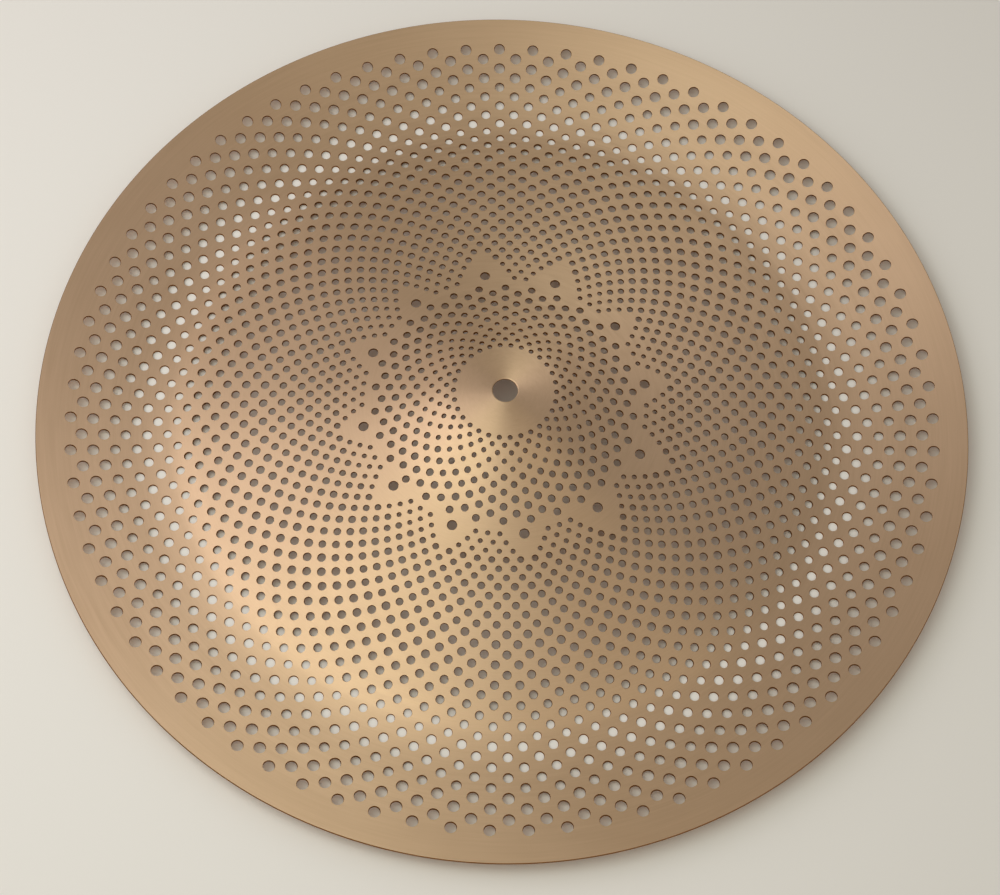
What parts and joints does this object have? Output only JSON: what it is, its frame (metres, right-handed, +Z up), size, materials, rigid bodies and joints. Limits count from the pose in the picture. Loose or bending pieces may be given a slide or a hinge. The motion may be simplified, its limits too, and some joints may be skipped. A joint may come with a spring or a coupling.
{
  "type": "china cymbal",
  "caption": "Perforated china cymbal: one pressed sheet with a bell, a bow, a valley and an upturned flange, and a centre hole for a stand's rod.",
  "frame": {"origin": "on the cymbal's axis, in the plane that the underside of the valley rests on", "axes": "+Z up along the axis through the centre hole, towards the bell; +X to the right and +Y away from the viewer in the picture"},
  "size_m": [0.4576, 0.4576, 0.0298],
  "materials": {
    "satin_bronze": "satin, finely brushed round the axis"
  },
  "bodies": {
    "root": {"cymbal": "satin_bronze"}
  },
  "joints": []
}
